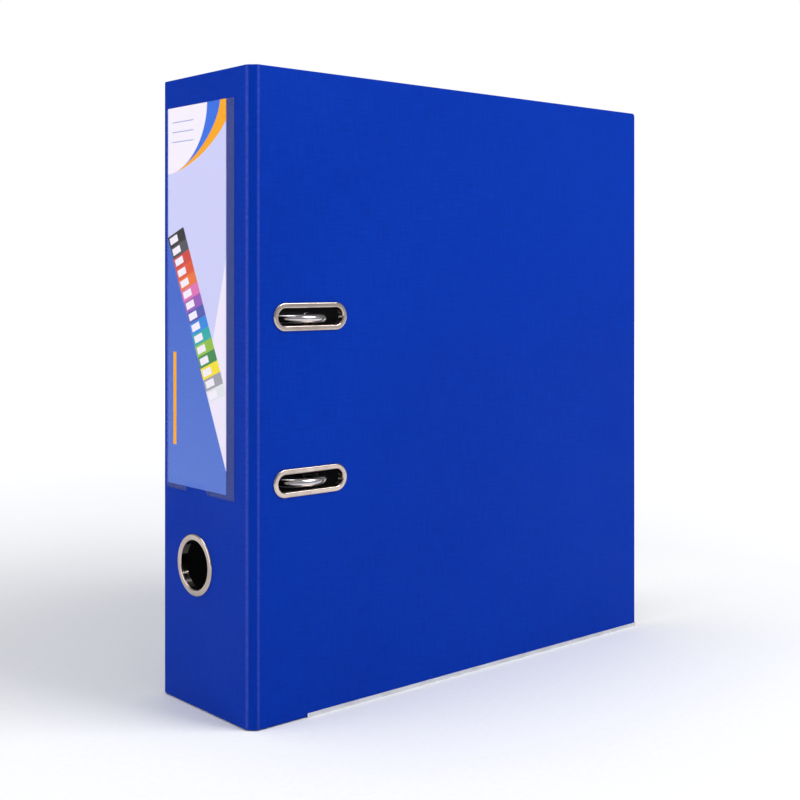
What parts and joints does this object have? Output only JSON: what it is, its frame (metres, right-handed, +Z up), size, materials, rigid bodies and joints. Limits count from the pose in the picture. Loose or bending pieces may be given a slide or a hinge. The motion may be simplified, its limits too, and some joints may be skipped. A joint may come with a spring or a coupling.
{
  "type": "lever arch file",
  "caption": "Foil-covered board file with a lever arch mechanism, eyelet-lined slots, finger ring and labelled spine pocket.",
  "frame": {"origin": "middle of the closed file's footprint, on the surface that it stands on", "axes": "+Z up along the spine, the front cover faces -Y, the spine faces -X"},
  "size_m": [0.2858, 0.0838, 0.315],
  "materials": {
    "cover_foil": "embossed linen polypropylene foil, satin",
    "board": "grey board",
    "lining": "matt black paper",
    "nickel": "nickel plate",
    "plate_steel": "nickel-plated pressed steel",
    "wire": "nickel-plated wire",
    "black_plastic": "fine grained",
    "white_plastic": "acetal",
    "spring_steel": "spring wire",
    "film": "clear film",
    "label": "printed card"
  },
  "bodies": {
    "back_cover": {"back_cover_board": "board", "back_cover_foil": "cover_foil", "back_cover_lining": "lining", "back_edge_rail": "nickel", "base_plate": "plate_steel", "base_rivets": "nickel", "upper_post": "wire", "lower_post": "wire", "lever_pivot_pin": "wire", "upper_arch_spring": "spring_steel", "lower_arch_spring": "spring_steel"},
    "back_hinge": {"back_hinge_board": "board", "back_hinge_foil": "cover_foil", "back_hinge_lining": "lining"},
    "spine": {"spine_board": "board", "spine_foil": "cover_foil", "spine_lining": "lining", "finger_ring": "nickel", "label_pocket": "film"},
    "front_hinge": {"front_hinge_board": "board", "front_hinge_foil": "cover_foil", "front_hinge_lining": "lining"},
    "front_cover": {"front_cover_board": "board", "front_cover_foil": "cover_foil", "front_cover_lining": "lining", "front_edge_rail": "nickel", "upper_slot_ring": "nickel", "lower_slot_ring": "nickel"},
    "label": {"label_card": "label"},
    "arches": {"arch_wire": "wire"},
    "lever": {"lever_arm": "plate_steel", "lever_grip": "black_plastic", "roller_axle": "wire"},
    "roller": {"roller": "white_plastic"},
    "compressor": {"compressor_bar": "plate_steel", "clamp_hinge_pins": "wire", "upper_clamp_spring": "spring_steel", "lower_clamp_spring": "spring_steel"},
    "upper_clamp": {"upper_clamp_plate": "plate_steel", "upper_clamp_pad": "black_plastic"},
    "lower_clamp": {"lower_clamp_plate": "plate_steel", "lower_clamp_pad": "black_plastic"}
  },
  "joints": [
    {"name": "back_outer_crease", "type": "hinge", "parent": "back_cover", "child": "back_hinge", "pos_m": [-0.13755, 0.0398, 0.1577], "axis": [0, 0, -1], "range_deg": [0, 45]},
    {"name": "back_inner_crease", "type": "hinge", "parent": "back_hinge", "child": "spine", "pos_m": [-0.14085, 0.0365, 0.1577], "axis": [0, 0, -1], "range_deg": [0, 45]},
    {"name": "front_inner_crease", "type": "hinge", "parent": "spine", "child": "front_hinge", "pos_m": [-0.14085, -0.0365, 0.1577], "axis": [0, 0, -1], "range_deg": [0, 90]},
    {"name": "front_outer_crease", "type": "hinge", "parent": "front_hinge", "child": "front_cover", "pos_m": [-0.13755, -0.0398, 0.1577], "axis": [0, 0, -1], "range_deg": [0, 90]},
    {"name": "label_slide", "type": "slide", "parent": "spine", "child": "label", "axis": [0, 0, 1], "range_m": [0, 0.2]},
    {"name": "lever_lift", "type": "hinge", "parent": "back_cover", "child": "lever", "pos_m": [-0.09765, 0.01615, 0.1584], "axis": [-1, 0, 0], "range_deg": [0, 45]},
    {"name": "arch_turn", "type": "hinge", "parent": "back_cover", "child": "arches", "pos_m": [-0.10755, 0.0216, 0.1539], "axis": [0, 0, -1], "range_deg": [0, 22.5], "deforming": ["upper_arch_spring", "lower_arch_spring"]},
    {"name": "roller_spin", "type": "hinge", "parent": "lever", "child": "roller", "pos_m": [-0.09765, 0.02151, 0.1539], "axis": [-1, 0, 0], "continuous": true},
    {"name": "compressor_slide", "type": "slide", "parent": "back_cover", "child": "compressor", "axis": [0, -1, 0], "range_m": [0, 0.038]},
    {"name": "upper_clamp_tilt", "type": "hinge", "parent": "compressor", "child": "upper_clamp", "pos_m": [-0.09005, 0.0291, 0.1991], "axis": [-1, 0, 0], "range_deg": [0, 5], "stiffness_Nm_per_rad": 0.02, "deforming": ["upper_clamp_spring"]},
    {"name": "lower_clamp_tilt", "type": "hinge", "parent": "compressor", "child": "lower_clamp", "pos_m": [-0.09005, 0.0291, 0.1087], "axis": [1, 0, 0], "range_deg": [0, 5], "stiffness_Nm_per_rad": 0.02, "deforming": ["lower_clamp_spring"]}
  ],
  "couplings": [
    {"joint": "back_inner_crease", "follows": "back_outer_crease", "ratio": 1},
    {"joint": "arch_turn", "follows": "lever_lift", "ratio": 0.5}
  ]
}
